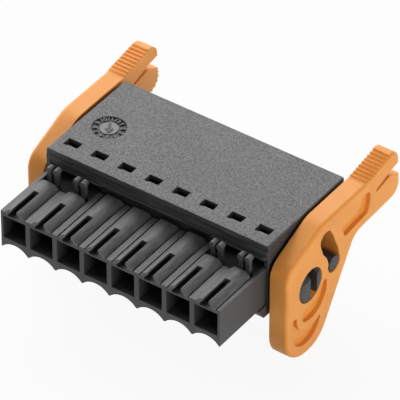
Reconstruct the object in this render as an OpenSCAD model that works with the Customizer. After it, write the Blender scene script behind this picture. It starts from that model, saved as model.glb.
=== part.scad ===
// Pluggable terminal block: a plug with a row of female contacts and two release levers.
// X runs along the row of poles, Y from the mating face to the wire side, Z up.
// The origin is in the middle of the row, on the mating face, at the height of the contacts.
// All lengths are in millimetres and all angles in degrees.

/* [Row of poles] */
// Number of poles in the row
poles = 8; // [4:1:12]
// Distance from one pole to the next
pitch = 3.81; // [3.75:0.01:5.08]

/* [Contact mouths] */
// Width of one mouth in the mating face
mouth_w = 3.2; // [2.9:0.05:3.3]
// Height of one mouth
mouth_h = 3.2; // [3:0.05:3.4]
// Wall between the last mouth and the end of the nose
end_wall = 0.3; // [0.25:0.05:1]
// Depth of the mouths, up to the sleeves that hold the contacts
mouth_depth = 6.2; // [5.5:0.1:6.4]

/* [Nose] */
// Length of the nose in front of the shell
nose_len = 9; // [8:0.1:12]
// Roof over the mouths, between the ridges
roof_t = 0.6; // [0.5:0.05:1]
// Width of the round ridge over each pole
ridge_w = 2.75; // [2.2:0.05:3.2]
// Height of the ridge above the roof
ridge_h = 0.74; // [0.5:0.02:1]
// Gap from the end of a long ridge to the end of the nose
ridge_end_gap = 0.05; // [0.05:0.05:0.5]
// Radius that rounds the end of a long ridge
ridge_end_r = 0.65; // [0.3:0.05:0.7]
// Radius that rounds the end of a short ridge, at the wells
short_end_r = 0.4; // [0.2:0.05:0.7]
// Floor under the mouths at the crown of the arches
floor_t = 0.6; // [0.3:0.02:0.8]
// Rise of the arches under the nose
arch_rise = 0.84; // [0.4:0.02:1]
// Width of the leg between two arches
leg_w = 0.22; // [0.2:0.02:0.8]
// Width and depth of the fine grooves along both sides of each ridge
groove = 0.14; // [0.08:0.02:0.2]

/* [Coding slots] */
// Length of a coding slot from the mating face
code_len = 4.3; // [3:0.1:5]
// Width of the slot where it opens in the ridge
code_neck_w = 0.8; // [0.5:0.02:1]
// Width of the slot at its foot
code_foot_w = 1.7; // [1.2:0.05:2]
// Height of the foot before the slot narrows
code_foot_h = 0.35; // [0.2:0.05:0.4]
// Height over which the slot narrows
code_taper_h = 0.4; // [0.3:0.05:0.5]
// Floor between a coding slot and the mouth below it
code_floor_t = 0.22; // [0.15:0.01:0.3]

/* [Tongue] */
// Depth of the socket in the shell that takes the nose's tongue
socket_len = 3; // [2.6:0.1:3.1]
// Cheek of the tongue beside the last contact
tongue_cheek = 0.35; // [0.3:0.05:0.4]
// Step from the legs of the nose up to the tongue's underside
tongue_step = 0.2; // [0.1:0.05:0.5]
// Clearance between the tongue and its socket
seat_gap = 0.06; // [0.03:0.01:0.15]

/* [Wells and snap fingers] */
// Number of poles at each end that have a well with snap fingers
well_poles = 2; // [1:1:2]
// Length of the well along Y
well_len = 2.3; // [2:0.1:3]
// Depth of the well below the roof
well_depth = 1.02; // [0.8:0.02:1.06]
// Wall beside the well at the end of the nose
well_wall = 0.45; // [0.3:0.05:0.8]
// Width of one snap finger
finger_w = 0.52; // [0.4:0.02:0.6]
// Thickness of a snap finger along Y
finger_t = 0.6; // [0.4:0.05:0.9]
// Gap between the two fingers of a pair
finger_gap = 0.44; // [0.3:0.02:0.6]
// Height of the finger heads above the roof
finger_h = 2.05; // [1.4:0.05:2.3]
// Radius of the round head of a finger
head_r = 0.38; // [0.28:0.02:0.4]
// Length of the head along Y
head_len = 0.8; // [0.6:0.05:1.1]
// Distance from the finger to the end of the nose
finger_back = 1.35; // [1.1:0.05:1.6]

/* [Shell] */
// Gap between the end of the nose and the shell's front
rim_gap = 0.1; // [0.1:0.01:0.2]
// Depth of the shell from its front rim to the wire side
shell_depth = 15.1; // [14.8:0.1:20]
// Height of the top plate above the contacts
shell_top = 5.35; // [5:0.05:7]
// Depth of the shell's bottom below the contacts
shell_bottom = 4.75; // [4.6:0.05:6]
// Step from the end of the nose out to the side of the shell
side_step = 0.17; // [0.05:0.01:0.5]
// Radius of the long edges of the shell
shell_edge_r = 0.2; // [0.1:0.05:0.6]
// Thickness of the top plate and of the bottom
plate_t = 0.7; // [0.5:0.05:1]
// Thickness of the wall on the wire side
back_t = 1.8; // [1.4:0.1:2.5]
// Thickness of the front wall above the contacts
front_t = 1.3; // [1:0.05:1.5]
// Height of the rim over the nose
rim_h = 1.9; // [1.6:0.02:2.2]
// How much lower the rim reaches over the wells
rim_drop = 0.27; // [0.1:0.01:0.4]
// Height of the top plate's front edge above the band
brow_h = 0.55; // [0.4:0.05:0.8]
// How far the band stands in front of the top plate's edge
band_step = 0.1; // [0.05:0.01:0.15]
// Distance from the top of the band to the fine groove in it
line_drop = 0.1; // [0.06:0.01:0.2]
// Height of that groove
line_h = 0.12; // [0.08:0.01:0.2]
// Depth of that groove
line_t = 0.25; // [0.15:0.01:0.4]
// How far the small lip under the band stands forward
rim_lip_step = 0.12; // [0.06:0.01:0.2]
// Radius of the round boss at each end of the rim
rim_boss_r = 0.22; // [0.15:0.01:0.3]
// How far that boss stands forward of the band
rim_boss_t = 0.2; // [0.1:0.01:0.3]
// Distance of that boss from the side of the housing
rim_boss_in = 0.45; // [0.3:0.05:0.8]
// Height of that boss over the rim's lower edge
rim_boss_rise = 0.15; // [0.1:0.01:0.3]
// Thickness of that lip
rim_lip_t = 0.12; // [0.08:0.01:0.2]
// How far the wall under the rim is set back
rim_setback = 0.35; // [0.2:0.05:0.6]
// How far the bottom lip reaches forward under the nose
lip_len = 1.62; // [1.2:0.02:2.5]
// Length along Y of the chamfer under the bottom lip
lip_chamfer = 1.05; // [0.6:0.05:1.2]
// Height of that chamfer
lip_chamfer_h = 1.4; // [0.6:0.05:1.4]
// Width of the chamber round each clamp
chamber_w = 3.1; // [2.9:0.05:3.2]
// Thickness of the shelf over the tongue's socket
shelf_t = 0.95; // [0.7:0.05:1.2]

/* [Test holes] */
// Width of a test hole in the top plate
test_w = 1.9; // [1.4:0.05:2.2]
// Length of a test hole along Y
test_len = 1.1; // [0.8:0.05:1.3]
// Distance from the front rim to the middle of a test hole
test_y = 2.3; // [2.2:0.05:3]
// Side of the small notch at one corner of the hole
test_notch = 0.3; // [0.2:0.05:0.4]

/* [Wire side] */
// Radius of a wire entry
wire_r = 1.1; // [0.9:0.05:1.2]
// Depth of the funnel round a wire entry
funnel_depth = 0.6; // [0.3:0.05:0.9]
// Radius of the funnel at the surface
funnel_r = 1.5; // [1.3:0.05:1.55]
// Depth of the wires below the contacts
wire_drop = 1.98; // [1.95:0.01:2.3]
// Width of the tool slot above each wire entry
tool_w = 2.4; // [2:0.05:2.6]
// Height of the tool slot
tool_h = 1.3; // [1:0.05:1.6]
// Height of the tool slot's middle above the contacts
tool_z = 1.7; // [1.4:0.05:2.4]
// Depth of the grooves that part the poles on the wire side
part_groove = 0.3; // [0.2:0.05:0.5]

/* [Contacts] */
// Thickness of the contact sheet
sheet_t = 0.3; // [0.2:0.02:0.35]
// Width of the contact's base
base_w = 2.3; // [2:0.05:2.4]
// Depth of the base's upper face below the middle of the contact
base_drop = 0.7; // [0.6:0.02:0.75]
// Distance from the mating face to the tips of the contact arms
contact_y = 2.8; // [2:0.1:3]
// Length of the flared tips
flare_len = 0.9; // [0.6:0.05:1.2]
// Gap between the arms, where they hold a pin
pin_gap = 0.94; // [0.7:0.02:1.1]
// Gap between the tips of the arms
tip_gap = 1.6; // [1.2:0.05:1.8]
// Height of the arms above the middle of the contact
arm_top = 0.6; // [0.4:0.05:0.7]
// Length of the straight part where both arms stand on the base
root_len = 2.2; // [1.5:0.1:2.6]
// How far the base starts behind the mouth of its sleeve
root_inset = 0.2; // [0.1:0.05:0.4]
// Distance from the end of the wide base to the leg of the spring
neck_gap = 1.2; // [1:0.1:1.6]
// Width of the bar that the wire is pulled against
bar_w = 1.5; // [1.2:0.05:1.6]
// Distance from the bar's end to the wire-side wall
bar_gap = 1.6; // [1.2:0.05:2]
// Clearance round the base in its sleeve
sleeve_gap = 0.05; // [0.03:0.01:0.1]

/* [Clamp springs] */
// Thickness of the spring strip
spring_t = 0.3; // [0.2:0.02:0.35]
// Width of the spring strip
spring_w = 2.5; // [2.3:0.05:2.7]
// Radius of the large front bend, at the middle of the strip
loop_r = 1.7; // [1.4:0.05:1.9]
// Radius of the rear bend
knee_r = 1.3; // [1:0.05:1.5]
// Gap between the front bend and the front of its chamber
spring_front = 0.65; // [0.4:0.05:1.2]
// Gap between the tail, which lies on the base, and the leg
tail_gap = 0.8; // [0.6:0.1:1.2]
// How far the leg reaches below the wire
leg_below = 1.3; // [1.2:0.1:1.5]
// Length along Y of the toe that the leg ends in
toe_len = 0.5; // [0.3:0.05:0.6]
// Height of that toe
toe_h = 0.3; // [0.2:0.05:0.4]
// Width of the window that the bar and the wire pass through
window_w = 1.76; // [1.7:0.02:1.9]
// How far the window reaches below the wire
window_below = 1; // [0.9:0.05:1.1]
// How far the window reaches above the base
window_above = 0.5; // [0.3:0.05:0.8]
// Distance from the leg of the spring to the wire-side wall
leg_gap = 2.4; // [2.2:0.05:2.8]
// Clearance between the spring and the base that it lies on
spring_gap = 0.02; // [0.01:0.01:0.05]

/* [Levers] */
// Thickness of a lever
lever_t = 2.46; // [2.2:0.02:3]
// Gap between a lever and the side of the shell
lever_gap = 0.42; // [0.15:0.01:0.5]
// Radius of a lever's outer edges
lever_edge_r = 0.4; // [0.3:0.05:0.8]
// Distance from the shell's front rim back to the pivot
pivot_back = 4.38; // [4:0.05:6]
// Depth of the pivot below the contacts
pivot_drop = 1.89; // [1.5:0.01:2.2]
// Distance from the pivot forward to the lever's front side
lever_front = 4.6; // [4.2:0.02:5.2]
// Depth of the lobe below the pivot
lobe_drop = 9.7; // [8.9:0.02:10]
// Radius of the lobe's front corner
lobe_r = 4.1; // [3.6:0.05:4.3]
// Radius of the lobe's rear corner
lobe_rear_r = 3.8; // [2.8:0.1:4.2]
// Distance behind the pivot of the corner between the lobe's rear side and its bottom
lobe_rear_y = 2.16; // [1.4:0.02:2.4]
// Slope of the lobe's rear side
lobe_slope = 58.3; // [54:0.1:62]
// Radius of the armpit between the lobe and the arm
armpit_r = 2.2; // [1.6:0.1:3]
// Height of the arm's top above the pivot
arm_h = 7.24; // [7:0.02:8]
// Height of the arm's underside above the pivot
arm_under = 1.38; // [1.2:0.02:1.8]
// Rise of the arm's underside towards the grip's end
under_rise = 0.35; // [0:0.05:0.6]
// Distance behind the pivot at which the shoulder starts to fall to the front side
shoulder_y = 2.5; // [2:0.1:3]
// Slope of that shoulder
shoulder_slope = 21.5; // [18:0.5:25]
// Radius of the bend between the arm's top and the shoulder
shoulder_r = 5; // [3:0.5:6]
// Radius of the bend between the shoulder and the front side
front_r = 2.4; // [1.6:0.1:2.8]

/* [Grip] */
// Distance from the pivot back to the end of the grip
lever_reach = 18.25; // [17:0.05:20]
// Length of the raised grip
grip_len = 6.7; // [5.5:0.1:7.5]
// Height of the grip's tip above the arm
grip_rise = 1.3; // [0.8:0.05:1.6]
// Height of the step where the grip starts
grip_step = 0.26; // [0.15:0.01:0.4]
// Length over which that step rises
step_len = 0.7; // [0.4:0.05:1]
// How far the grip's end leans forward
tip_slant = 0.6; // [0.2:0.05:0.8]
// Radius of the grip's upper rear corner
tip_r = 1.5; // [0.9:0.05:1.7]
// Radius of the grip's lower rear corner
heel_r = 1.8; // [1:0.05:2]
// Number of grooves across the grip
grip_grooves = 9; // [4:1:9]
// Distance from one grip groove to the next
grip_pitch = 0.58; // [0.5:0.02:0.6]
// Depth of a grip groove
groove_depth = 0.2; // [0.1:0.02:0.24]
// Width of the slit that splits the grip, where it ends
fork_w = 0.42; // [0.3:0.02:0.5]
// Distance from the end of the slit to the end of the grip
fork_len = 4.9; // [4:0.1:5.4]
// Height of the end of the slit above the arm's underside
fork_rise = 3.67; // [3.2:0.01:3.9]

/* [Pockets in the outer face of a lever] */
// Depth of the pockets
pocket_depth = 0.55; // [0.3:0.05:0.8]
// Width of the ring left between the counterbore and the pocket under it
ring_w = 0.6; // [0.4:0.05:0.8]
// Radius of the outer side of the pocket under the counterbore
crescent_r = 3.1; // [2.8:0.05:3.4]
// Width of the rim round the pocket in the lobe
lobe_rim = 1.25; // [0.9:0.05:1.6]
// Radius of the inner side of the pocket in the lobe
lobe_inner_r = 2.8; // [2.4:0.05:3]

/* [Pivot and stud] */
// Radius of the pivot pin
pivot_r = 1.7; // [1.4:0.05:1.8]
// Running clearance round the pivot pin
pivot_gap = 0.05; // [0.02:0.01:0.1]
// Radius of the pin's snap heads
snap_r = 2.1; // [1.95:0.01:2.14]
// Radius of the counterbore round the snap heads
counterbore_r = 2.25; // [2.2:0.01:2.4]
// Depth of the counterbore
counterbore_depth = 1.15; // [0.9:0.05:1.4]
// How far the pin stands out of the lever's outer face
pin_proud = 0.1; // [0:0.02:0.3]
// Chamfer round the pin's end
pin_chamfer = 0.2; // [0.1:0.05:0.4]
// Height above the pin's axis at which the sloping cut meets its end
pin_flat = 0.9; // [0.6:0.05:1.4]
// Width of the slit that parts the pin
pin_slit = 1.3; // [0.8:0.05:1.4]
// Distance from the pin's axis back to the middle of the slit
slit_shift = 0.5; // [0:0.05:0.6]
// Radius of the stud that stops the lever
stud_r = 0.95; // [0.8:0.01:1]
// Distance from the pivot to the stud
stud_radius = 4.7; // [4.65:0.01:4.9]
// Angle at which the stud stands, with the lever latched
stud_angle = 1.2; // [0:0.1:4]
// Clearance between the stud and the side of its slot
stud_gap = 0.12; // [0.1:0.01:0.2]
// Radius of the round seat that the latched lever has for the stud
seat_r = 1.2; // [1.15:0.01:1.3]
// Angle through which a lever swings
lever_swing = 42; // [30:1:44]
// Angle by which the slot's far end lies beyond the stud's last place
slot_beyond = 14; // [8:0.5:16]
// Distance by which the slot's far end lies outside the stud's path
slot_bend = 0.83; // [0.5:0.01:1]
// Radius of the slot's far end
slot_end_r = 1.12; // [1:0.02:1.2]
// Share of the swing after which the slot's outer side starts to widen
slot_widen = 0.64; // [0.4:0.02:0.8]

/* [Hidden] */

plastic_black = "#2b2b2d";
plastic_grey_black = "#3a3a3c";
lever_orange = "#ee8420";
tinned = "#c9c7c0";
steel = "#a9adb2";

cut = 0.1;           // how far a cut reaches past the surface it opens
curve_fn = 64;       // sides of a round feature
corner_steps = 8;    // steps in a rounded corner of an outline
edge_steps = 4;      // steps in the rounded edge of a lever
ridge_lift = 0.02;   // height above a ridge's crest at which the round end of its profile starts
bend_steps = 14;     // steps in the front bend of a clamp spring

// Places along X
function pole_x(i) = (i - (poles + 1) / 2) * pitch;
function is_end_pole(i) = i <= well_poles || i > poles - well_poles;
nose_w = (poles - 1) * pitch + mouth_w + 2 * end_wall;
shell_w = nose_w + 2 * side_step;
lever_x = shell_w / 2 + lever_gap;

// Heights
mouth_top = mouth_h / 2;
roof_z = mouth_top + roof_t;
crest_z = roof_z + ridge_h;
arch_z = -mouth_h / 2 - floor_t;
leg_z = arch_z - arch_rise;
well_z = roof_z - well_depth;
rim_z = shell_top - rim_h;
brow_z = shell_top - brow_h;
base_z = -base_drop;

// Places along Y
shell_y = nose_len + rim_gap;
band_y = shell_y - band_step;
back_y = shell_y + shell_depth;
wall_y = back_y - back_t;
chamber_y = shell_y + socket_len;
tongue_end = chamber_y - seat_gap;
well_y = nose_len - well_len;
well_x = (poles / 2 - well_poles) * pitch;
leg_y = wall_y - leg_gap;

// Radius of an arc from half its chord and its height
function arc_radius(half_chord, height) = (half_chord ^ 2 + height ^ 2) / (2 * height);
ridge_r = arc_radius(ridge_w / 2, ridge_h);
arch_r = arc_radius((pitch - leg_w) / 2, arch_rise);

// The tongue is the part of the nose that goes into the shell
tongue_w = (poles - 1) * pitch + base_w + 2 * sleeve_gap + 2 * tongue_cheek;
tongue_top = well_z;
tongue_bottom = leg_z + tongue_step;

// The pivot, from which everything on a lever is measured: Y first, then Z
pivot_y = shell_y + pivot_back;
pivot_z = -pivot_drop;
stud = stud_radius * [cos(stud_angle), sin(stud_angle)];

// ---------- Outlines ----------

function unit(v) = v / norm(v);
function left_of(v) = [-v[1], v[0]];
function arc(centre, r, from, to, steps) =
    [for (i = [0:steps]) let (a = from + (to - from) * i / steps) centre + r * [cos(a), sin(a)]];

// Sheet of thickness t that follows a path, as a closed outline
function sheet_shift(path, i, t) =
    let (
        last = len(path) - 1,
        before = left_of(unit(path[max(i, 1)] - path[max(i, 1) - 1])),
        after = left_of(unit(path[min(i, last - 1) + 1] - path[min(i, last - 1)])),
        middle = unit(before + after)
    )
    middle * (t / 2) / (middle * before);
function sheet(path, t) = concat(
    [for (i = [0:len(path) - 1]) path[i] + sheet_shift(path, i, t)],
    [for (i = [len(path) - 1:-1:0]) path[i] - sheet_shift(path, i, t)]
);

// An outline is a list of corners [u, v, radius], anticlockwise. A corner that turns left is
// convex. The inset outline has its sides moved inwards and its corner radii changed to match.
function side(corners, i) =
    let (n = len(corners), a = corners[i % n], b = corners[(i + 1) % n])
    unit([b[0] - a[0], b[1] - a[1]]);
function turn(corners, i) =
    let (n = len(corners), before = side(corners, i + n - 1), after = side(corners, i))
    atan2(before[0] * after[1] - before[1] * after[0], before * after);
function inset_corner(corners, i, d) =
    let (
        n = len(corners),
        before = side(corners, i + n - 1),
        after = side(corners, i),
        half = turn(corners, i) / 2,
        middle = left_of(unit(before + after)),
        at = [corners[i][0], corners[i][1]] + middle * d / cos(half)
    )
    [at[0], at[1], max(corners[i][2] - d * sign(half), 0.02)];
function inset(corners, d) = [for (i = [0:len(corners) - 1]) inset_corner(corners, i, d)];
function corner_arc(corners, i) =
    let (
        n = len(corners),
        before = side(corners, i + n - 1),
        angle = turn(corners, i),
        r = corners[i][2],
        start = [corners[i][0], corners[i][1]] - before * r * abs(tan(angle / 2)),
        centre = start + left_of(before) * r * sign(angle),
        from = atan2(before[1], before[0]) - 90 * sign(angle)
    )
    arc(centre, r, from, from + angle, corner_steps);
function outline(corners) = [for (i = [0:len(corners) - 1]) each corner_arc(corners, i)];

// ---------- Ways to place a shape ----------

// A profile drawn in Y and Z, given a width along X about the middle
module across(width) {
    rotate([90, 0, 90]) linear_extrude(width, center = true) children();
}

// A profile drawn in X and Z, given a length along Y
module along(from, to) {
    translate([0, to, 0]) rotate([90, 0, 0]) linear_extrude(to - from) children();
}

module box(low, high) {
    translate(low) cube(high - low);
}

// A round bar along Y
module bar_y(x, z, r, from, to) {
    translate([x, from, z]) rotate([-90, 0, 0]) cylinder(h = to - from, r = r, $fn = curve_fn);
}

// A round bar along X, at a point given from the pivot
module bar_x(u, v, r, from, to) {
    translate([from, u, v]) rotate([0, 90, 0]) cylinder(h = to - from, r = r, $fn = curve_fn);
}

module each_pole() {
    for (i = [1:poles]) translate([pole_x(i), 0, 0]) children();
}

// ---------- Nose ----------

// Round ridge over a pole, rounded down at its rear end
module ridge(length, end_r) {
    bend = [length - end_r, crest_z + ridge_lift - end_r];
    intersection() {
        bar_y(0, crest_z - ridge_r, ridge_r, 0, length);
        across(ridge_w + 2 * groove) polygon(concat(
            [[0, roof_z - groove], [length, roof_z - groove]],
            arc(bend, end_r, 0, 90, corner_steps),
            [[0, crest_z + ridge_lift]]
        ));
    }
}

module coding_slot() {
    foot_z = mouth_top + code_floor_t;
    along(-cut, code_len) polygon([
        [-code_foot_w / 2, foot_z],
        [code_foot_w / 2, foot_z],
        [code_foot_w / 2, foot_z + code_foot_h],
        [code_neck_w / 2, foot_z + code_foot_h + code_taper_h],
        [code_neck_w / 2, crest_z + cut],
        [-code_neck_w / 2, crest_z + cut],
        [-code_neck_w / 2, foot_z + code_foot_h + code_taper_h],
        [-code_foot_w / 2, foot_z + code_foot_h]
    ]);
}

module snap_finger() {
    head_z = roof_z + finger_h - head_r;
    box([-finger_w / 2, -finger_t / 2, well_z - cut], [finger_w / 2, finger_t / 2, head_z]);
    bar_y(0, head_z, head_r, -head_len / 2, head_len / 2);
}

module nose() {
    sleeve_w = base_w + 2 * sleeve_gap;
    sleeve_floor = base_z - sheet_t - sleeve_gap;
    finger_y = nose_len - finger_back;
    well_inner = well_x + (pitch - ridge_w) / 2;
    well_outer = nose_w / 2 - well_wall;
    color(plastic_black) {
        difference() {
            union() {
                box([-nose_w / 2, 0, leg_z], [nose_w / 2, nose_len, roof_z]);
                box([-tongue_w / 2, nose_len - cut, tongue_bottom], [tongue_w / 2, tongue_end, tongue_top]);
                for (i = [1:poles]) translate([pole_x(i), 0, 0])
                    if (is_end_pole(i)) ridge(well_y + ridge_end_gap, short_end_r);
                    else ridge(nose_len - ridge_end_gap, ridge_end_r);
            }
            each_pole() {
                box([-mouth_w / 2, -cut, -mouth_h / 2], [mouth_w / 2, mouth_depth, mouth_top]);
                box([-sleeve_w / 2, mouth_depth - cut, sleeve_floor],
                    [sleeve_w / 2, tongue_end + cut, arm_top + sleeve_gap]);
                bar_y(0, arch_z - arch_r, arch_r, -cut, nose_len + cut / 2);
                coding_slot();
                for (s = [0, 1]) mirror([s, 0, 0])
                    box([ridge_w / 2, -cut, roof_z - groove],
                        [ridge_w / 2 + groove, nose_len + cut, roof_z + cut]);
            }
            for (s = [0, 1]) mirror([s, 0, 0])
                box([well_inner, well_y, well_z], [well_outer, nose_len + cut, crest_z + cut]);
        }
        for (i = [1:poles]) if (is_end_pole(i))
            for (s = [-1, 1])
                translate([pole_x(i) + s * (finger_w + finger_gap) / 2, finger_y, 0]) snap_finger();
    }
}

// ---------- Shell ----------

// Side view of the shell: brow and band in front, the lip under the nose, the flat back
module shell_side_view() {
    lip_y = shell_y - lip_len;
    lip_top = leg_z - seat_gap;
    line_z = brow_z - line_drop;
    band_end = rim_z - rim_drop + rim_lip_t;
    polygon([
        [shell_y, shell_top],
        [shell_y, brow_z],
        [band_y, brow_z],
        [band_y, line_z],
        [band_y + line_t, line_z],
        [band_y + line_t, line_z - line_h],
        [band_y, line_z - line_h],
        [band_y, band_end],
        [shell_y, band_end],
        [shell_y, lip_top],
        [lip_y, lip_top],
        [lip_y, -shell_bottom + lip_chamfer_h],
        [lip_y + lip_chamfer, -shell_bottom],
        [back_y, -shell_bottom],
        [back_y, shell_top]
    ]);
}

module shell_front_view() {
    polygon(outline([
        [-shell_w / 2, -shell_bottom, shell_edge_r],
        [shell_w / 2, -shell_bottom, shell_edge_r],
        [shell_w / 2, shell_top, shell_edge_r],
        [-shell_w / 2, shell_top, shell_edge_r]
    ]));
}

// Everything that is open in one pole of the shell
module shell_pole_cuts() {
    box([-chamber_w / 2, chamber_y - cut, -shell_bottom + plate_t],
        [chamber_w / 2, wall_y, shell_top - plate_t]);
    box([-chamber_w / 2, shell_y + front_t, tongue_top + shelf_t],
        [chamber_w / 2, chamber_y, shell_top - plate_t]);
    // test hole with its corner notch
    y = shell_y + test_y;
    box([-test_w / 2, y - test_len / 2, shell_top - plate_t - cut],
        [test_w / 2, y + test_len / 2, shell_top + cut]);
    box([-test_w / 2, y - test_len / 2 - test_notch / 2, shell_top - plate_t - cut],
        [-test_w / 2 + 2 * test_notch, y, shell_top + cut]);
    // wire entry, its funnel and the tool slot above it
    bar_y(0, -wire_drop, wire_r, wall_y - cut, back_y + cut);
    translate([0, back_y - funnel_depth, -wire_drop]) rotate([-90, 0, 0])
        cylinder(h = funnel_depth + cut, r1 = wire_r,
            r2 = funnel_r + (funnel_r - wire_r) * cut / funnel_depth, $fn = curve_fn);
    box([-tool_w / 2, wall_y - cut, tool_z - tool_h / 2], [tool_w / 2, back_y + cut, tool_z + tool_h / 2]);
}

// Small lip under the band, from one place along X to another
module rim_lip(from, to, bottom) {
    box([from, band_y - rim_lip_step, bottom], [to, shell_y + rim_setback, bottom + rim_lip_t]);
}

// Split pin that the lever snaps onto, with its root at X = 0
module pivot_pin() {
    head = lever_gap + lever_t - counterbore_depth + pivot_gap;
    end = lever_gap + lever_t + pin_proud;
    difference() {
        union() {
            bar_x(0, 0, pivot_r, -cut, head + cut);
            bar_x(0, 0, snap_r, head, end - pin_chamfer);
            translate([end - pin_chamfer, 0, 0]) rotate([0, 90, 0])
                cylinder(h = pin_chamfer, r1 = snap_r, r2 = snap_r - pin_chamfer, $fn = curve_fn);
        }
        box([lever_gap, slit_shift - pin_slit / 2, -2 * snap_r],
            [end + cut, slit_shift + pin_slit / 2, 2 * snap_r]);
        along(-2 * snap_r, 2 * snap_r)
            polygon([[head, snap_r], [end + cut, pin_flat], [end + cut, 2 * snap_r]]);
    }
}

module lever_stud() {
    bar_x(stud[0], stud[1], stud_r, -cut, lever_gap + lever_t);
}

module shell() {
    window_top = rim_z - rim_drop;
    color(plastic_grey_black) {
        difference() {
            intersection() {
                across(shell_w) shell_side_view();
                along(shell_y - lip_len, back_y) shell_front_view();
            }
            // socket for the nose's tongue
            box([-tongue_w / 2 - seat_gap, shell_y - cut, tongue_bottom - seat_gap],
                [tongue_w / 2 + seat_gap, chamber_y, tongue_top + seat_gap]);
            each_pole() shell_pole_cuts();
            // wall under the rim, set back behind the nose
            box([-tongue_w / 2, shell_y - cut, tongue_top],
                [tongue_w / 2, shell_y + rim_setback, window_top]);
            box([-well_x, band_y - cut, tongue_top], [well_x, shell_y + rim_setback, rim_z]);
            // windows behind the snap fingers
            for (i = [1:poles]) if (is_end_pole(i))
                box([pole_x(i) - chamber_w / 2, shell_y, tongue_top],
                    [pole_x(i) + chamber_w / 2, shell_y + front_t + cut, window_top]);
            // grooves that part the poles on the wire side
            for (i = [1:poles - 1])
                box([pole_x(i) + pitch / 2 - part_groove / 2, back_y - part_groove, -shell_bottom - cut],
                    [pole_x(i) + pitch / 2 + part_groove / 2, back_y + cut, tool_z + tool_h]);
        }
        rim_lip(-well_x, well_x, rim_z);
        for (s = [0, 1]) mirror([s, 0, 0]) {
            rim_lip(well_x - cut, tongue_w / 2, window_top);
            bar_y(shell_w / 2 - rim_boss_in, rim_z + rim_boss_rise, rim_boss_r,
                band_y - rim_boss_t, shell_y + cut);
            translate([shell_w / 2, pivot_y, pivot_z]) {
                pivot_pin();
                lever_stud();
            }
        }
    }
}

// ---------- Levers ----------

// Corners of the lever's outline
armpit = [lobe_rear_y + (arm_under + lobe_drop) / tan(lobe_slope), arm_under];
heel = [lever_reach, arm_under + under_rise];
tip = [lever_reach - tip_slant, arm_h + grip_rise];
grip = [lever_reach - grip_len, arm_h + grip_step];
grip_foot = [grip[0] - step_len, arm_h];
lever_corners = [
    [-lever_front, -lobe_drop, lobe_r],
    [lobe_rear_y, -lobe_drop, lobe_rear_r],
    [armpit[0], armpit[1], armpit_r],
    [heel[0], heel[1], heel_r],
    [tip[0], tip[1], tip_r],
    [grip[0], grip[1], lever_edge_r + step_len],
    [grip_foot[0], grip_foot[1], step_len / 2],
    [shoulder_y, arm_h, shoulder_r],
    [-lever_front, arm_h - (lever_front + shoulder_y) * tan(shoulder_slope), front_r]
];
heel_corner = 3;         // place of the heel in that list
// Point from which the whole outline can be seen
lever_heart = [2 * shoulder_y, arm_under + armpit_r];

// Plate with the lever's outline, its outer edge rounded and its inner edge sharp
module rounded_plate(corners, heart, thickness, radius) {
    layers = concat(
        [[0, 0]],
        [for (k = [0:edge_steps]) let (a = 90 * k / edge_steps)
            [thickness - radius * (1 - sin(a)), radius * (1 - cos(a))]]
    );
    rings = [for (layer = layers) [for (p = outline(inset(corners, layer[1]))) [layer[0], p[0], p[1]]]];
    n = len(rings[0]);
    top = (len(rings) - 1) * n;
    inner_heart = len(rings) * n;
    outer_heart = inner_heart + 1;
    polyhedron(
        points = concat(
            [for (ring = rings) each ring],
            [[0, heart[0], heart[1]], [thickness, heart[0], heart[1]]]
        ),
        faces = concat(
            [for (i = [0:n - 1]) [inner_heart, i, (i + 1) % n]],
            [for (k = [0:n:top - n], i = [0:n - 1]) let (j = (i + 1) % n)
                each [[k + i, k + n + j, k + j], [k + i, k + n + i, k + n + j]]],
            [for (i = [0:n - 1]) [outer_heart, top + (i + 1) % n, top + i]]
        )
    );
}

// Curved slot about the pivot. Its inner side turns outwards where the stud stops, and its
// outer side widens towards the far end.
slot_steps = 12;         // steps along each side of the slot
slot_join = 4.2;         // angle between the far end's middle and the place where the outer side meets it
slot_curve = 1.5;        // power with which the outer side widens
slot_inner_r = stud_radius - stud_r - stud_gap;
slot_outer_r = stud_radius + stud_r + stud_gap;
slot_stop_angle = stud_angle + lever_swing;
slot_stop = stud_radius * [cos(slot_stop_angle), sin(slot_stop_angle)];
slot_end_angle = slot_stop_angle + slot_beyond;
slot_end_radius = stud_radius + slot_bend;
slot_end = slot_end_radius * [cos(slot_end_angle), sin(slot_end_angle)];
slot_back_angle = 180 + atan2(slot_stop[0] - slot_end[0], slot_end[1] - slot_stop[1]);
slot_join_angle = slot_end_angle - slot_join;
slot_join_lean = asin(slot_end_radius * sin(slot_join) / slot_end_r);
slot_join_r = slot_end_radius * cos(slot_join) + slot_end_r * cos(slot_join_lean);
slot_widen_angle = stud_angle + slot_widen * lever_swing;
slot_outline = concat(
    arc([0, 0], slot_inner_r, stud_angle, slot_stop_angle, slot_steps),
    arc(slot_stop, stud_r + stud_gap, slot_stop_angle + 180, slot_back_angle, slot_steps / 3),
    arc(slot_end, slot_end_r, slot_back_angle, slot_join_angle - slot_join_lean, slot_steps),
    [for (k = [slot_steps - 1:-1:1]) let (t = k / slot_steps)
        (slot_outer_r + (slot_join_r - slot_outer_r) * t ^ slot_curve)
            * (let (a = slot_widen_angle + (slot_join_angle - slot_widen_angle) * t) [cos(a), sin(a)])],
    arc([0, 0], slot_outer_r, slot_widen_angle, stud_angle, slot_steps)
);

// Crescent under the counterbore, with a horn at its rear end
module pivot_pocket() {
    middle = [0.2, -1.9];
    front_end = [-0.55, -3.88];
    horn = [2.85, -1.6];
    inner_r = counterbore_r + ring_w;
    polygon(concat(
        arc(middle, crescent_r, -104, 5, slot_steps),
        arc(horn, crescent_r + middle[0] - horn[0], 0, 150, corner_steps),
        arc([0, 0], inner_r, -30, -101, slot_steps),
        arc(front_end, -front_end[1] - inner_r, 90, 270, corner_steps)
    ));
}

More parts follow.
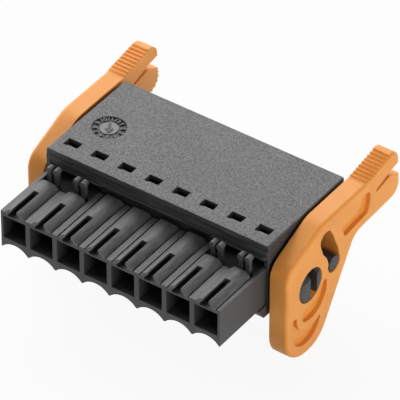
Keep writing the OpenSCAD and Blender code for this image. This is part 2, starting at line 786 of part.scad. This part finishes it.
// Crescent along the lobe's edge, with a horn along the lever's front side
module lobe_pocket() {
    r = lobe_r - lobe_rim;
    middle = [lobe_r - lever_front - 0.16, lobe_r - lobe_drop + 0.37];
    inner = [0.1, -3.4];
    horn_r = 0.42;
    horn = [middle[0] - r + horn_r, inner[1]];
    polygon(concat(
        arc(middle, r, 180, 345, slot_steps),
        [[middle[0] + 2.6, middle[1] - 0.45]],
        arc(inner, lobe_inner_r, -62, -182, slot_steps),
        arc(horn, horn_r, 10, 180, corner_steps)
    ));
}

module arm_pocket() {
    polygon(outline([
        [6.85, 2.55, 0.3], [11.6, 2.95, 0.7], [12.1, 5.95, 0.8],
        [10.1, 5.95, 0.7], [9.9, 4.6, 0.6], [6.1, 4.45, 0.3]
    ]));
}

// Slit that splits the grip into two prongs and widens to its mouth
module grip_fork() {
    end = [lever_reach - fork_len, arm_under + fork_rise];
    low = [end[0] + 2.55, end[1] + 0.3];
    high = [end[0] + 2.45, end[1] + 1];
    open_y = lever_reach + 1;
    translate(end) circle(fork_w / 2, $fn = curve_fn);
    polygon([
        end - [0, fork_w / 2], low, [open_y, low[1] - 1.45],
        [open_y, high[1] + 0.55], high, end + [0, fork_w / 2]
    ]);
}

module grip_groove(at) {
    bar_x(at[0], at[1], groove_r, -cut, lever_t + cut);
}

// Grooves over the grip, under it, round its lower rear corner and a little way up its end
groove_r = 0.45 * grip_pitch;
groove_in = groove_depth - groove_r;     // depth of a groove's axis under the surface
module grip_rows() {
    over = unit(tip - grip);
    under = unit(heel - armpit);
    first_y = grip_foot[0] + grip_pitch / 2;
    first_over = grip + over * (first_y - grip[0]) - left_of(over) * groove_in;
    first_under = armpit + under * (first_y - armpit[0]) + left_of(under) * groove_in;
    round_heel = corner_arc(inset(lever_corners, groove_in), heel_corner);
    for (k = [0:grip_grooves - 1]) grip_groove(first_over + over * k * grip_pitch);
    for (k = [0:grip_grooves]) grip_groove(first_under + under * k * grip_pitch);
    for (k = [0:2:corner_steps]) grip_groove(round_heel[k]);
    grip_groove(round_heel[corner_steps] + unit(tip - heel) * grip_pitch);
}

// Right lever, with the pivot at the origin and the inner face at X = 0
module lever_body() {
    difference() {
        rounded_plate(lever_corners, lever_heart, lever_t, lever_edge_r);
        bar_x(0, 0, pivot_r + pivot_gap, -cut, lever_t + cut);
        bar_x(0, 0, counterbore_r, lever_t - counterbore_depth, lever_t + cut);
        bar_x(stud[0], stud[1], seat_r, -cut, lever_t + cut);
        translate([lever_t / 2, 0, 0]) across(lever_t + 2 * cut) {
            polygon(slot_outline);
            grip_fork();
        }
        translate([lever_t - pocket_depth + lever_t / 2, 0, 0]) across(lever_t) {
            pivot_pocket();
            lobe_pocket();
            arm_pocket();
        }
        grip_rows();
    }
}

module lever_right() {
    color(lever_orange) translate([lever_x, pivot_y, pivot_z]) lever_body();
}

module lever_left() {
    mirror([1, 0, 0]) lever_right();
}

// ---------- Contacts and clamp springs ----------

module contact() {
    root_y = mouth_depth + root_inset;
    neck_y = leg_y - neck_gap;
    root_x = (base_w - sheet_t) / 2;
    pinch_x = (pin_gap + sheet_t) / 2;
    tip_x = (tip_gap + sheet_t) / 2;
    color(tinned) {
        box([-base_w / 2, root_y, base_z - sheet_t], [base_w / 2, neck_y, base_z]);
        box([-bar_w / 2, neck_y - cut, base_z - sheet_t], [bar_w / 2, wall_y - bar_gap, base_z]);
        for (s = [0, 1]) mirror([s, 0, 0]) translate([0, 0, base_z - sheet_t])
            linear_extrude(arm_top - base_z + sheet_t) polygon(sheet([
                [root_x, root_y + root_len],
                [root_x, root_y],
                [pinch_x, contact_y + flare_len],
                [tip_x, contact_y]
            ], sheet_t));
    }
}

module clamp_spring() {
    z = base_z + spring_gap + spring_t / 2;
    knee_y = leg_y - knee_r;
    front_y = chamber_y + spring_front + spring_t / 2 + loop_r;
    top = z + 2 * loop_r;
    foot_z = -wire_drop - leg_below;
    color(steel) difference() {
        across(spring_w) polygon(sheet(concat(
            [[leg_y - tail_gap, z]],
            arc([front_y, z + loop_r], loop_r, 270, 90, bend_steps),
            arc([knee_y, top - knee_r], knee_r, 90, 0, bend_steps / 2),
            [[leg_y, foot_z], [leg_y - toe_len, foot_z - toe_h]]
        ), spring_t));
        box([-window_w / 2, leg_y - spring_t, -wire_drop - window_below],
            [window_w / 2, leg_y + spring_t, base_z + window_above]);
    }
}

nose();
shell();
lever_left();
lever_right();
for (i = [1:poles]) {
    translate([pole_x(i), 0, 0]) contact();
    translate([pole_x(i), 0, 0]) clamp_spring();
}
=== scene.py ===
"""Looks of a pluggable terminal block: black polyamide mouldings, orange release levers,
tinned contacts and sprung clamps. Everything is in metres, in the frame of the CAD model."""

import math

import bmesh
import bpy
from mathutils import Matrix, Vector


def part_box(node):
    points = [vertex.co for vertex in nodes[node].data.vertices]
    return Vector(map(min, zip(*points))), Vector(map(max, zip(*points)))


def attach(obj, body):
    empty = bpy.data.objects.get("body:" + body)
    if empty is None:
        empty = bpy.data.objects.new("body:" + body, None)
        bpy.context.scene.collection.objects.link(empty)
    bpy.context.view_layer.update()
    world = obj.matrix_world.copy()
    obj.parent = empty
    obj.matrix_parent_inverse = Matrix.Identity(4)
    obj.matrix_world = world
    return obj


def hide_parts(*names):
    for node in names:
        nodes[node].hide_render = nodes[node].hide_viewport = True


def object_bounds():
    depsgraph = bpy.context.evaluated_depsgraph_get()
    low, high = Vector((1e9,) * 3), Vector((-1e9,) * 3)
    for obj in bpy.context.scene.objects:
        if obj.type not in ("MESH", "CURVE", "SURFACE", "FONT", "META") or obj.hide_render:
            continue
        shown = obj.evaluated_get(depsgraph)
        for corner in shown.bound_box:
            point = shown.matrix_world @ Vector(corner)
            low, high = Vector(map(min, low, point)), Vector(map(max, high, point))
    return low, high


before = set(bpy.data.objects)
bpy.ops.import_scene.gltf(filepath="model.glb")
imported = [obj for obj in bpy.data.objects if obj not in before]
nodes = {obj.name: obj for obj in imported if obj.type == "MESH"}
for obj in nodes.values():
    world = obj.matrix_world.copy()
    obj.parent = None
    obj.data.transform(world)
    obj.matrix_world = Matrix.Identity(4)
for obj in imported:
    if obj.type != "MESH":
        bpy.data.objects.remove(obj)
cad_low, cad_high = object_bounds()

MM = 0.001
SMOOTH_ANGLE = math.radians(30)     # edges flatter than this are curved surfaces
FLAT_ANGLE = math.radians(0.4)      # triangles flatter than this are one flat face
WELD = 1e-7                         # corners closer than this are the same corner

HOUSING = "housing"

PLASTIC_IOR = 1.53
GRAIN = 0.2 * MM                    # real mould grain is about 0.05 mm; this one is wide enough to show
SLOT_REACH = 0.8 * MM               # slots and corners narrower than this get painted shade
SLOT_DEEP, SLOT_OPEN = 0.35, 0.75   # share of open sky in the depth of a slot and on an open face
SLOT_DARKEST = 0.25                 # share of the colour that the painted shade leaves in the depth of a slot
ROOF_RISE = 5.1 * MM                # from the nose's lowest edge to just under its roof
HEAD_RISE = 1.3 * MM                # from there to the heads of the snap fingers, which keep the grey as a painted highlight
SHELL_SHADOW_START, SHELL_SHADOW_END = 6 * MM, 8 * MM   # range along Y in which a painted shadow of the shell falls on the grey of the nose
LEFT_IN_SHELL_SHADOW = 0.25                        # share of the grey that is left in that painted shadow
PAPER_GLOW = 0.92                   # share of plain white in what is seen of the paper

# Sockets of a Mix node that mixes colours
MIX_SHARE, MIX_FIRST, MIX_SECOND, MIXED = 0, 6, 7, 2


# ---------- Colour and nodes ----------

def linear(hex_colour):
    """sRGB hex to the linear colour that a shader takes."""
    parts = [int(hex_colour[i:i + 2], 16) / 255 for i in (1, 3, 5)]
    return tuple(c / 12.92 if c <= 0.04045 else ((c + 0.055) / 1.055) ** 2.4 for c in parts) + (1,)


def add(tree, kind, inputs=None, stops=(), **settings):
    """Adds a node. inputs maps a socket to a value, to another node's output, or to a node whose
    first output is meant. stops are the positions and colours of a colour ramp."""
    node = tree.nodes.new(kind)
    for name, value in settings.items():
        setattr(node, name, value)
    for socket, value in (inputs or {}).items():
        if isinstance(value, bpy.types.Node):
            value = value.outputs[0]
        if isinstance(value, bpy.types.NodeSocket):
            tree.links.new(value, node.inputs[socket])
        else:
            node.inputs[socket].default_value = value
    if stops:
        elements = node.color_ramp.elements
        while len(elements) < len(stops):
            elements.new(0.5)
        for element, (position, colour) in zip(elements, stops):
            element.position = position
            element.color = linear(colour)
    return node


def new_material(name):
    """An empty material and its node tree."""
    material = bpy.data.materials.new(name)
    material.use_nodes = True
    material.node_tree.nodes.clear()
    return material, material.node_tree


def inside_box(tree, place, low, high):
    """1 inside a box of the part's space, 0 outside it."""
    away = add(tree, "ShaderNodeVectorMath", {0: place, 1: (low + high) / 2}, operation="SUBTRACT")
    away = add(tree, "ShaderNodeVectorMath", {0: away}, operation="ABSOLUTE")
    axes = add(tree, "ShaderNodeSeparateXYZ", {0: away}).outputs
    inside = 1.0
    for axis, half in zip(axes, (high - low) / 2):
        within = add(tree, "ShaderNodeMath", {0: axis, 1: half}, operation="LESS_THAN")
        inside = add(tree, "ShaderNodeMath", {0: within, 1: inside}, operation="MULTIPLY")
    return inside


def darker_in_slots(tree, colour):
    """A colour with painted shade in narrow slots and corners, where less open sky reaches."""
    sky = add(tree, "ShaderNodeAmbientOcclusion", {"Distance": SLOT_REACH}, samples=4).outputs["AO"]
    share = add(tree, "ShaderNodeMapRange", {
        "Value": sky, "From Min": SLOT_DEEP, "From Max": SLOT_OPEN, "To Min": SLOT_DARKEST})
    return add(tree, "ShaderNodeVectorMath", {0: colour, "Scale": share}, operation="SCALE")


def mould_grain(tree, place):
    """Pattern of the fine grain that a moulded skin takes from its mould."""
    return add(tree, "ShaderNodeTexNoise", {
        "Vector": place, "Scale": 1 / GRAIN, "Detail": 3, "Roughness": 0.7})


def moulded_skin(tree, pattern, strength, depth, edge_r):
    """Normal of a moulded skin: a fine relief, over edges that look rounded."""
    edge = add(tree, "ShaderNodeBevel", {"Radius": edge_r}, samples=4)
    return add(tree, "ShaderNodeBump", {
        "Height": pattern, "Normal": edge, "Strength": strength, "Distance": depth})


# ---------- Materials ----------

def shell_polyamide():
    """Glass-filled black polyamide. The spark-eroded top and bottom have a sharp grain in a lighter grey,
    which is painted light. The sides and inner walls are painted shade: deep black, with fine drag marks."""
    material, tree = new_material("black_polyamide_spark_grain")
    place = add(tree, "ShaderNodeTexCoord").outputs["Object"]
    grain = mould_grain(tree, place)
    # Clouding a few millimetres across, where the glass fibre comes near the surface
    cloud = add(tree, "ShaderNodeTexNoise", {"Vector": place, "Scale": 1 / (4 * MM), "Detail": 2})
    # Drag marks from the slides, which run along X
    along_x = add(tree, "ShaderNodeMapping", {"Vector": place, "Scale": (0.04, 1, 1)})
    drag = add(tree, "ShaderNodeTexNoise", {"Vector": along_x, "Scale": 1 / (0.16 * MM), "Detail": 2})
    # The box of painted shade reaches past the sides and stops short of the top and the bottom
    low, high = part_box("shell")
    past, short = Vector((1, 1, 0)) * MM, Vector((0, 0, 0.1)) * MM
    painted_shade_box = inside_box(tree, place, low - past + short, high + past - short)
    # Grey grain on the top and bottom: painted light, lighter than the sides
    grain_and_painted_light = add(tree, "ShaderNodeValToRGB", {"Fac": grain}, stops=[(0.42, "#363637"), (0.58, "#666667")])
    # Darker sides and inner walls: painted shade, with the drag marks
    drag_marks_in_painted_shade = add(tree, "ShaderNodeValToRGB", {"Fac": drag}, stops=[(0.42, "#161617"), (0.62, "#3e3e40")])
    tone = add(tree, "ShaderNodeMix", {
        MIX_SHARE: painted_shade_box, MIX_FIRST: grain_and_painted_light, MIX_SECOND: drag_marks_in_painted_shade}, data_type="RGBA").outputs[MIXED]
    # The base colour gets painted shade in narrow slots and corners
    shader = add(tree, "ShaderNodeBsdfPrincipled", {
        "Base Color": darker_in_slots(tree, tone), "IOR": PLASTIC_IOR, "Specular IOR Level": 0.7,
        "Roughness": add(tree, "ShaderNodeMapRange", {"Value": cloud, "To Min": 0.58, "To Max": 0.7}),
        "Normal": moulded_skin(tree, grain, strength=0.6, depth=0.04 * MM, edge_r=0.1 * MM)})
    add(tree, "ShaderNodeOutputMaterial", {"Surface": shader})
    return material


def nose_polyamide():
    """Black polyamide with a broad soft gloss and weak flow marks along Y. The roof and its ridges
    are greyer as painted light, streaked along Y, with a painted shadow of the shell towards the back.
    The heads of the snap fingers keep the grey as a painted highlight. The rest is painted shade, deeper
    black."""
    material, tree = new_material("black_polyamide_fine_grain")
    place = add(tree, "ShaderNodeTexCoord").outputs["Object"]
    grain = mould_grain(tree, place)
    drawn_out = add(tree, "ShaderNodeMapping", {"Vector": place, "Scale": (1, 0.25, 1)})
    flow = add(tree, "ShaderNodeTexNoise", {
        "Vector": drawn_out, "Scale": 1 / (1.2 * MM), "Detail": 4, "Roughness": 0.6})
    drawn_out = add(tree, "ShaderNodeMapping", {"Vector": place, "Scale": (1, 0.15, 1)})
    streaks = add(tree, "ShaderNodeTexNoise", {
        "Vector": drawn_out, "Scale": 1 / (0.25 * MM), "Detail": 3, "Roughness": 0.7})

    axes = add(tree, "ShaderNodeSeparateXYZ", {0: place}).outputs
    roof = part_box("nose")[0].z + ROOF_RISE
    above_roof = add(tree, "ShaderNodeMath", {0: axes["Z"], 1: roof}, operation="GREATER_THAN")
    # The heads of the snap fingers keep the grey: a painted highlight
    heads = add(tree, "ShaderNodeMath", {0: axes["Z"], 1: roof + HEAD_RISE}, operation="GREATER_THAN")
    # A painted shadow of the shell darkens the grey towards the back
    front = add(tree, "ShaderNodeMapRange", {
        "Value": axes["Y"], "From Min": SHELL_SHADOW_START, "From Max": SHELL_SHADOW_END, "To Min": 1, "To Max": LEFT_IN_SHELL_SHADOW})
    share = add(tree, "ShaderNodeMath", {0: front, 1: heads}, operation="MAXIMUM")
    share = add(tree, "ShaderNodeMath", {0: above_roof, 1: share}, operation="MULTIPLY")

    # Deeper black below the roof: painted shade
    black = add(tree, "ShaderNodeValToRGB", {"Fac": grain}, stops=[(0.4, "#141415"), (0.6, "#202021")])
    # Greyer roof and ridges: painted light, streaked along Y
    grey = add(tree, "ShaderNodeValToRGB", {"Fac": streaks}, stops=[(0.38, "#363637"), (0.62, "#515152")])
    tone = add(tree, "ShaderNodeMix", {
        MIX_SHARE: share, MIX_FIRST: black, MIX_SECOND: grey}, data_type="RGBA").outputs[MIXED]
    # The base colour gets painted shade in narrow slots and corners
    shader = add(tree, "ShaderNodeBsdfPrincipled", {
        "Base Color": darker_in_slots(tree, tone), "IOR": PLASTIC_IOR, "Specular IOR Level": 1.0,
        "Roughness": add(tree, "ShaderNodeMapRange", {"Value": flow, "To Min": 0.58, "To Max": 0.7}),
        "Normal": moulded_skin(tree, flow, strength=0.3, depth=0.03 * MM, edge_r=0.09 * MM)})
    add(tree, "ShaderNodeOutputMaterial", {"Surface": shader})
    return material


def lever_polyamide():
    """Orange polyamide, satin from the mould. The light soaks in a little, so the shaded sides
    stay warm, and a faint orange peel breaks up the gloss."""
    material, tree = new_material("orange_polyamide_satin")
    place = add(tree, "ShaderNodeTexCoord").outputs["Object"]
    peel = add(tree, "ShaderNodeTexNoise", {
        "Vector": place, "Scale": 1 / (0.5 * MM), "Detail": 3, "Roughness": 0.6})
    cloud = add(tree, "ShaderNodeTexNoise", {"Vector": place, "Scale": 1 / (3 * MM), "Detail": 2})
    tone = add(tree, "ShaderNodeValToRGB", {"Fac": cloud}, stops=[(0.3, "#e3943f"), (0.7, "#e99c47")])
    shader = add(tree, "ShaderNodeBsdfPrincipled", {
        "Base Color": tone, "Roughness": 0.5, "IOR": PLASTIC_IOR, "Specular IOR Level": 0.35,
        "Subsurface Weight": 0.35, "Subsurface Radius": (1, 0.35, 0.1), "Subsurface Scale": 0.8 * MM,
        "Normal": moulded_skin(tree, peel, strength=0.2, depth=0.02 * MM, edge_r=0.12 * MM)})
    add(tree, "ShaderNodeOutputMaterial", {"Surface": shader})
    return material


def tinned_copper():
    """Tin-plated copper alloy sheet: soft grey metal with a slightly cloudy plating."""
    material, tree = new_material("tin_plated_copper_alloy")
    place = add(tree, "ShaderNodeTexCoord").outputs["Object"]
    cloud = add(tree, "ShaderNodeTexNoise", {"Vector": place, "Scale": 1 / (0.6 * MM), "Detail": 3})
    tone = add(tree, "ShaderNodeValToRGB", {"Fac": cloud}, stops=[(0.3, "#b9b7b0"), (0.7, "#d2d0c9")])
    shader = add(tree, "ShaderNodeBsdfPrincipled", {
        "Base Color": tone, "Metallic": 1.0,
        "Roughness": add(tree, "ShaderNodeMapRange", {"Value": cloud, "To Min": 0.28, "To Max": 0.42})})
    add(tree, "ShaderNodeOutputMaterial", {"Surface": shader})
    return material


def spring_steel():
    """Stainless spring strip: cold-rolled, with fine lines across the strip's width."""
    material, tree = new_material("stainless_spring_strip")
    place = add(tree, "ShaderNodeTexCoord").outputs["Object"]
    along_x = add(tree, "ShaderNodeMapping", {"Vector": place, "Scale": (0.05, 1, 1)})
    lines = add(tree, "ShaderNodeTexNoise", {"Vector": along_x, "Scale": 1 / (0.08 * MM), "Detail": 2})
    tone = add(tree, "ShaderNodeValToRGB", {"Fac": lines}, stops=[(0.3, "#9b9fa4"), (0.7, "#b3b7bb")])
    shader = add(tree, "ShaderNodeBsdfPrincipled", {
        "Base Color": tone, "Metallic": 1.0,
        "Roughness": add(tree, "ShaderNodeMapRange", {"Value": lines, "To Min": 0.24, "To Max": 0.38})})
    add(tree, "ShaderNodeOutputMaterial", {"Surface": shader})
    return material


def studio_white():
    """Matt white paper. It shows as plain white with the part's own soft shadow on it."""
    material, tree = new_material("white_paper")
    rays = add(tree, "ShaderNodeLightPath").outputs
    seen = rays["Is Camera Ray"]
    for ray in ("Is Glossy Ray", "Is Transmission Ray"):
        seen = add(tree, "ShaderNodeMath", {0: seen, 1: rays[ray]}, operation="MAXIMUM")
    share = add(tree, "ShaderNodeMath", {0: seen, 1: PAPER_GLOW}, operation="MULTIPLY")
    paper = add(tree, "ShaderNodeBsdfDiffuse", {"Color": linear("#dedede")})
    glow = add(tree, "ShaderNodeEmission", {"Color": linear("#ffffff"), "Strength": 1.0})
    both = add(tree, "ShaderNodeMixShader", {0: share, 1: paper, 2: glow})
    add(tree, "ShaderNodeOutputMaterial", {"Surface": both})
    return material


# ---------- Meshes ----------

def new_piece(name, bm, material, body=HOUSING):
    """Makes a piece of the part from a finished bmesh."""
    mesh = bpy.data.meshes.new(name)
    bm.to_mesh(mesh)
    bm.free()
    piece = bpy.data.objects.new(name, mesh)
    bpy.context.scene.collection.objects.link(piece)
    mesh.materials.append(material)
    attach(piece, body)
    return piece


def smooth_skin(piece):
    """Shades curved surfaces smooth and keeps flat faces flat."""
    piece.data.shade_smooth()
    piece.data.set_sharp_from_angle(angle=SMOOTH_ANGLE)
    modifier = piece.modifiers.new("flat_faces_lead", "WEIGHTED_NORMAL")
    modifier.keep_sharp = True
    modifier.weight = 100


def moulding(name, node, material, body=HOUSING, cut=None):
    """A CAD moulding as one welded skin, with its flat faces whole. cut carves fine detail."""
    bm = bmesh.new()
    bm.from_mesh(nodes[node].data)
    bmesh.ops.remove_doubles(bm, verts=bm.verts, dist=WELD)
    bmesh.ops.dissolve_limit(bm, angle_limit=FLAT_ANGLE, verts=bm.verts, edges=bm.edges)
    piece = new_piece(name, bm, material, body)
    if cut:
        cut(piece)
    smooth_skin(piece)
    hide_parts(node)


# ---------- Date dial in the top plate ----------

DIAL = Vector((-11.73, 16.15)) * MM         # middle of the dial
TOP_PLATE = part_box("shell")[1].z
DIAL_R, DIAL_SLOPE, DIAL_DEPTH = 2.08 * MM, 0.04 * MM, 0.24 * MM    # the floor is smaller by the slope
DISC_R, DISC_SINK = 1.12 * MM, 0.1 * MM     # the disc's top lies a little below the plate
INSERT_T = 0.01 * MM                        # how far the insert's ring lies over and under the floor
DIAL_STEPS = 72
DIAL_PROFILE = (                            # radius and height from the plate, from the axis outwards
    (0, -DISC_SINK), (DISC_R, -DISC_SINK), (DISC_R + DIAL_SLOPE, INSERT_T - DIAL_DEPTH),
    (DIAL_R - DIAL_SLOPE, INSERT_T - DIAL_DEPTH), (DIAL_R - DIAL_SLOPE, -DIAL_DEPTH - INSERT_T),
    (0, -DIAL_DEPTH - INSERT_T))
HOURS = 12
NUMBER_RING, NUMBER_SIZE, NUMBER_SINK = 1.62 * MM, 0.85 * MM, 0.04 * MM
ARROW_TURN = math.radians(150)              # clockwise from the back
ARROW_HEAD, ARROW_HEAD_AT, ARROW_DEPTH = 0.55 * MM, 0.45 * MM, 0.14 * MM
ARROW_SHAFT_W, ARROW_SHAFT = 0.3 * MM, 1.3 * MM
ARROW_SHAFT_DEPTH = 0.97 * ARROW_DEPTH      # no face of the shaft lies in a face of the head


def dial_polyamide():
    """Black polyamide off a steel date insert. The numbers and the disc carry a light grain in a lighter
    grey, which is painted light. The floor of the sunk ring and the arrow are painted shade, read as dark
    lines."""
    material, tree = new_material("black_polyamide_insert_grain")
    place = add(tree, "ShaderNodeTexCoord").outputs["Object"]
    height = add(tree, "ShaderNodeSeparateXYZ", {0: place}).outputs["Z"]
    level = add(tree, "ShaderNodeMapRange", {
        "Value": height, "From Min": TOP_PLATE - DIAL_DEPTH, "From Max": TOP_PLATE})
    # Painted by height: the sunk ring's floor and the arrow's top are painted shade, the disc and numbers
    # painted light
    tone = add(tree, "ShaderNodeValToRGB", {"Fac": level}, stops=[
        (0.3, "#101011"), (0.4, "#68686a"), (0.9, "#68686a"), (0.96, "#0e0e0f")])
    grain = mould_grain(tree, place)
    shader = add(tree, "ShaderNodeBsdfPrincipled", {
        "Base Color": tone, "IOR": PLASTIC_IOR, "Specular IOR Level": 0.7,
        "Roughness": add(tree, "ShaderNodeMapRange", {"Value": grain, "To Min": 0.5, "To Max": 0.65}),
        "Normal": add(tree, "ShaderNodeBump", {
            "Height": grain, "Strength": 0.4, "Distance": 0.03 * MM})})
    add(tree, "ShaderNodeOutputMaterial", {"Surface": shader})
    return material


def on_dial(height, radius=0.0, turn=0.0):
    """Matrix from the origin to a place in the dial. Height counts from the plate, turn clockwise."""
    return (Matrix.Translation((DIAL.x, DIAL.y, TOP_PLATE + height))
            @ Matrix.Rotation(-turn, 4, "Z") @ Matrix.Translation((0, radius, 0)))


def dial_recess(piece):
    """Cuts the round recess of the dial, with a sloped wall, into the shell's skin."""
    bm = bmesh.new()
    bmesh.ops.create_cone(bm, cap_ends=True, segments=DIAL_STEPS, radius1=DIAL_R - DIAL_SLOPE,
                          radius2=DIAL_R + DIAL_SLOPE, depth=2 * DIAL_DEPTH, matrix=on_dial(0))
    mesh = bpy.data.meshes.new("recess")
    bm.to_mesh(mesh)
    bm.free()
    cutter = bpy.data.objects.new("recess", mesh)
    bpy.context.scene.collection.objects.link(cutter)
    cut = piece.modifiers.new("recess", "BOOLEAN")
    cut.object = cutter
    cut.solver = "EXACT"
    graph = bpy.context.evaluated_depsgraph_get()
    skin = bpy.data.meshes.new_from_object(piece.evaluated_get(graph))
    piece.modifiers.remove(cut)
    piece.data = skin
    bpy.data.objects.remove(cutter)
    bpy.data.meshes.remove(mesh)


def raised_text(bm, words, size, depth, place):
    """Adds raised characters, centred on a place."""
    curve = bpy.data.curves.new("raised_text", "FONT")
    curve.body = words
    curve.extrude = 0.5     # a depth of 1, before it is scaled
    curve.align_x, curve.align_y = "CENTER", "CENTER"
    curve.resolution_u = 3
    holder = bpy.data.objects.new("raised_text", curve)
    mesh = bpy.data.meshes.new_from_object(holder)
    mesh.transform(place @ Matrix.Diagonal((size, size, depth, 1)))
    bm.from_mesh(mesh)
    bpy.data.objects.remove(holder)
    bpy.data.meshes.remove(mesh)


def date_dial():
    """Insert in the recess: plain numbers around a disc with an arrow."""
    bm = bmesh.new()
    corners = [bm.verts.new((DIAL.x + r, DIAL.y, TOP_PLATE + height)) for r, height in DIAL_PROFILE]
    edges = [bm.edges.new(pair) for pair in zip(corners, corners[1:])]
    bmesh.ops.spin(bm, geom=corners + edges, cent=(DIAL.x, DIAL.y, 0), axis=(0, 0, 1),
                   angle=math.tau, steps=DIAL_STEPS, use_merge=True)
    bmesh.ops.remove_doubles(bm, verts=bm.verts, dist=WELD)
    bmesh.ops.recalc_face_normals(bm, faces=bm.faces)
    for hour in range(1, HOURS + 1):
        raised_text(bm, str(hour), NUMBER_SIZE, DIAL_DEPTH - NUMBER_SINK,
                    on_dial(-(DIAL_DEPTH + NUMBER_SINK) / 2, NUMBER_RING, math.tau * hour / HOURS))
    bmesh.ops.create_cone(bm, cap_ends=True, segments=3, radius1=ARROW_HEAD, radius2=ARROW_HEAD,
                          depth=ARROW_DEPTH, matrix=on_dial(-ARROW_DEPTH / 2, ARROW_HEAD_AT, ARROW_TURN))
    bmesh.ops.create_cube(bm, size=1, matrix=on_dial(-ARROW_DEPTH / 2, -ARROW_HEAD_AT / 2, ARROW_TURN)
                          @ Matrix.Diagonal((ARROW_SHAFT_W, ARROW_SHAFT, ARROW_SHAFT_DEPTH, 1)))
    piece = new_piece("date_dial", bm, dial_plastic)
    smooth_skin(piece)


# ---------- The part ----------

shell_plastic = shell_polyamide()
nose_plastic = nose_polyamide()
dial_plastic = dial_polyamide()
lever_plastic = lever_polyamide()
tin = tinned_copper()
steel = spring_steel()

moulding("nose_moulding", "nose", nose_plastic)
moulding("shell_moulding", "shell", shell_plastic, cut=dial_recess)
date_dial()
for side in ("left", "right"):
    moulding(f"{side}_lever_moulding", f"lever_{side}", lever_plastic, f"lever_{side}")
for name, node in nodes.items():
    if name.startswith(("contact_", "clamp_spring_")):
        node.data.materials.clear()
        node.data.materials.append(tin if name.startswith("contact_") else steel)


# ---------- Floor, light and camera ----------

FLOOR_HALF = 1.0
bm = bmesh.new()
bmesh.ops.create_grid(bm, x_segments=1, y_segments=1, size=FLOOR_HALF,
                      matrix=Matrix.Translation((0, 0, cad_low.z)))
floor_mesh = bpy.data.meshes.new("floor")
bm.to_mesh(floor_mesh)
bm.free()
floor = bpy.data.objects.new("floor", floor_mesh)
floor_mesh.materials.append(studio_white())
bpy.context.scene.collection.objects.link(floor)


def from_angles(azimuth, elevation):
    """Unit vector from the part towards a viewer. Azimuth 0 is in front, at -Y."""
    a, e = math.radians(azimuth), math.radians(elevation)
    return Vector((math.sin(a) * math.cos(e), -math.cos(a) * math.cos(e), math.sin(e)))


def soft_box(name, azimuth, elevation, size, watts, distance):
    """Square studio lamp that faces the middle of the part."""
    lamp = bpy.data.lights.new(name, "AREA")
    lamp.shape = "SQUARE"
    lamp.size = size
    lamp.energy = watts
    holder = bpy.data.objects.new(name, lamp)
    towards = from_angles(azimuth, elevation)
    holder.location = (cad_low + cad_high) / 2 + towards * distance
    holder.rotation_euler = towards.to_track_quat("Z", "Y").to_euler()
    bpy.context.scene.collection.objects.link(holder)


soft_box("key_box", azimuth=218, elevation=36, size=0.5, watts=2.6, distance=0.5)
soft_box("left_box", azimuth=272, elevation=33, size=0.4, watts=1.7, distance=0.5)
soft_box("right_box", azimuth=76, elevation=10, size=0.25, watts=0.8, distance=0.3)

SKY_STRENGTH = 0.16

scene = bpy.context.scene
scene.view_settings.view_transform = "Standard"
world = bpy.data.worlds.new("studio")
scene.world = world
world.use_nodes = True
sky = world.node_tree
sky.nodes.clear()
background = add(sky, "ShaderNodeBackground", {"Color": linear("#ffffff"), "Strength": SKY_STRENGTH})
add(sky, "ShaderNodeOutputWorld", {"Surface": background})

CAMERA_AZIMUTH, CAMERA_ELEVATION = 35.37, 39.28
CAMERA_DISTANCE = 0.528
SENSOR, FOCAL = 36.0, 417.9
AIM = Vector((0, 12.91, 3.45)) * MM
AIM_RIGHT, AIM_DOWN = 2.76 * MM, 0.91 * MM      # the part sits a little off the middle

camera_data = bpy.data.cameras.new("camera")
camera_data.sensor_width = SENSOR
camera_data.lens = FOCAL
camera_data.clip_start, camera_data.clip_end = 0.05, 5
camera = bpy.data.objects.new("camera", camera_data)
back = from_angles(CAMERA_AZIMUTH, CAMERA_ELEVATION)
turn = back.to_track_quat("Z", "Y")
camera.rotation_euler = turn.to_euler()
camera.location = AIM + back * CAMERA_DISTANCE + turn @ Vector((AIM_RIGHT, -AIM_DOWN, 0))
scene.collection.objects.link(camera)
scene.camera = camera
